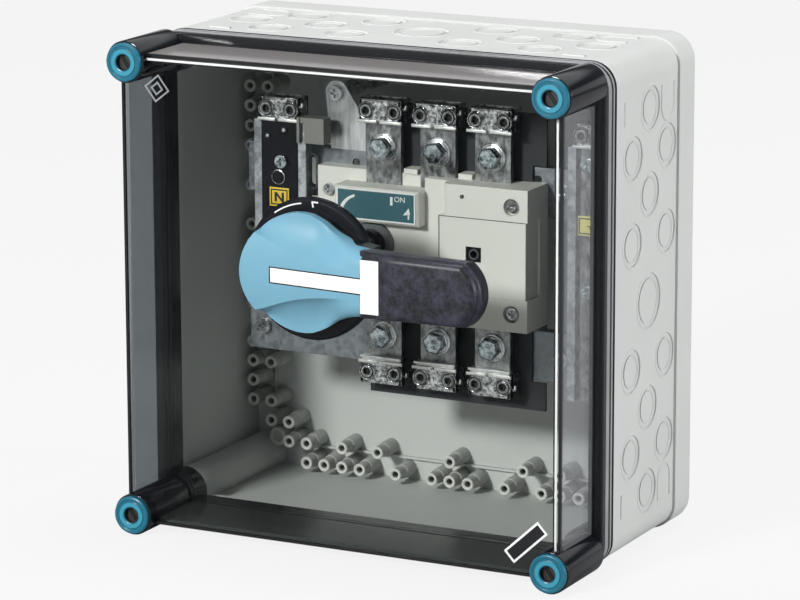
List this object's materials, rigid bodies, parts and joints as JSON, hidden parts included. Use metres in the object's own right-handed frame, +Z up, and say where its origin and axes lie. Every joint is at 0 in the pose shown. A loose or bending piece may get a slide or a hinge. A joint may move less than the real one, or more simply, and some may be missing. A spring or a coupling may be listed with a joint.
{
  "type": "enclosed switch disconnector",
  "caption": "Wall-mounted square moulded enclosure with a clear screwed lid, a rotary handle on its front and a switch body with bolted bar terminals inside.",
  "frame": {"origin": "centre of the enclosure's flat back face, which is screwed to the wall", "axes": "+X to the right seen from the front, +Y back into the wall, +Z up; the lid and the handle face -Y"},
  "size_m": [0.3, 0.203, 0.3],
  "materials": {
    "enclosure_grey": "fine-grained moulded plastic",
    "lid_clear": "clear polycarbonate",
    "gasket_black": "matt",
    "screw_teal": "satin moulded plastic",
    "galvanised": "galvanised sheet",
    "screw_steel": "zinc plated",
    "insulation_black": "matt board",
    "switch_beige": "fine-grained moulded plastic",
    "label_teal": "printed film",
    "black_plastic": "satin moulded plastic",
    "tinned_copper": "tinned",
    "zinc_clamp": "bright zinc",
    "copper": "plain copper",
    "spacer_grey": "moulded plastic",
    "label_yellow": "printed film",
    "handle_blue": "satin moulded plastic",
    "inlay_white": "moulded plastic"
  },
  "bodies": {
    "enclosure": {"enclosure_base": "enclosure_grey", "fixing_bosses": "enclosure_grey", "rail_upper": "galvanised", "rail_lower": "galvanised", "rail_pillars": "screw_steel", "rail_screws": "screw_steel", "rail_stay": "galvanised", "insulating_plate": "insulation_black", "switch_tray": "switch_beige", "mechanism_cover": "switch_beige", "contact_cover": "switch_beige", "cover_screws": "screw_steel", "indicator_label": "label_teal", "test_contact": "black_plastic", "shaft_bearing": "black_plastic", "line_bar_1": "tinned_copper", "line_bar_2": "tinned_copper", "line_bar_3": "tinned_copper", "load_bar_1": "tinned_copper", "load_bar_2": "tinned_copper", "load_bar_3": "tinned_copper", "terminal_bolts": "screw_steel", "terminal_washers": "screw_steel", "terminal_nuts": "screw_steel", "line_clamp_frames": "zinc_clamp", "load_clamp_frames": "zinc_clamp", "clamp_screws": "screw_steel", "neutral_clip": "spacer_grey", "neutral_cover": "black_plastic", "neutral_channel": "galvanised", "neutral_spacer": "spacer_grey", "neutral_bar": "tinned_copper", "neutral_clamp": "zinc_clamp", "neutral_clamp_screw": "screw_steel", "neutral_screws": "screw_steel", "neutral_label": "label_yellow", "earth_channel": "galvanised", "earth_spacer": "spacer_grey", "earth_bar": "tinned_copper", "earth_clamp": "zinc_clamp", "earth_clamp_screw": "screw_steel", "earth_screws": "screw_steel", "earth_label": "label_yellow"},
    "lid": {"enclosure_lid": "lid_clear", "lid_gasket": "gasket_black", "escutcheon": "black_plastic", "escutcheon_nut": "black_plastic", "shaft_seal": "gasket_black"},
    "screw_top_left": {"lid_screw_top_left": "screw_teal"},
    "screw_top_right": {"lid_screw_top_right": "screw_teal"},
    "screw_bottom_left": {"lid_screw_bottom_left": "screw_teal"},
    "screw_bottom_right": {"lid_screw_bottom_right": "screw_teal"},
    "handle": {"handle_core": "black_plastic", "handle_hub": "handle_blue", "handle_grip": "black_plastic", "pointer_inlay": "inlay_white"},
    "shaft": {"operating_shaft": "screw_steel", "shaft_collar": "black_plastic"},
    "carrier": {"contact_carrier": "black_plastic", "moving_contacts": "copper"}
  },
  "joints": [
    {"name": "lid_removal", "type": "slide", "parent": "enclosure", "child": "lid", "axis": [0, -1, 0], "range_m": [0, 0.08]},
    {"name": "handle_turn", "type": "hinge", "parent": "lid", "child": "handle", "pos_m": [-0.015, -0.18, 0.0253], "axis": [0, -1, 0], "range_deg": [0, 90]},
    {"name": "shaft_turn", "type": "hinge", "parent": "enclosure", "child": "shaft", "pos_m": [-0.015, -0.18, 0.0253], "axis": [0, -1, 0], "range_deg": [0, 90]},
    {"name": "carrier_slide", "type": "slide", "parent": "enclosure", "child": "carrier", "axis": [1, 0, 0], "range_m": [0, 0.01414]},
    {"name": "screw_turn_top_left", "type": "hinge", "parent": "lid", "child": "screw_top_left", "pos_m": [-0.1375, -0.17, 0.1375], "axis": [0, -1, 0], "range_deg": [0, 90]},
    {"name": "screw_turn_top_right", "type": "hinge", "parent": "lid", "child": "screw_top_right", "pos_m": [0.1375, -0.17, 0.1375], "axis": [0, -1, 0], "range_deg": [0, 90]},
    {"name": "screw_turn_bottom_left", "type": "hinge", "parent": "lid", "child": "screw_bottom_left", "pos_m": [-0.1375, -0.17, -0.1375], "axis": [0, -1, 0], "range_deg": [0, 90]},
    {"name": "screw_turn_bottom_right", "type": "hinge", "parent": "lid", "child": "screw_bottom_right", "pos_m": [0.1375, -0.17, -0.1375], "axis": [0, -1, 0], "range_deg": [0, 90]}
  ],
  "couplings": [
    {"joint": "shaft_turn", "follows": "handle_turn", "ratio": 1},
    {"joint": "carrier_slide", "follows": "handle_turn", "m_per_rad": 0.009}
  ]
}
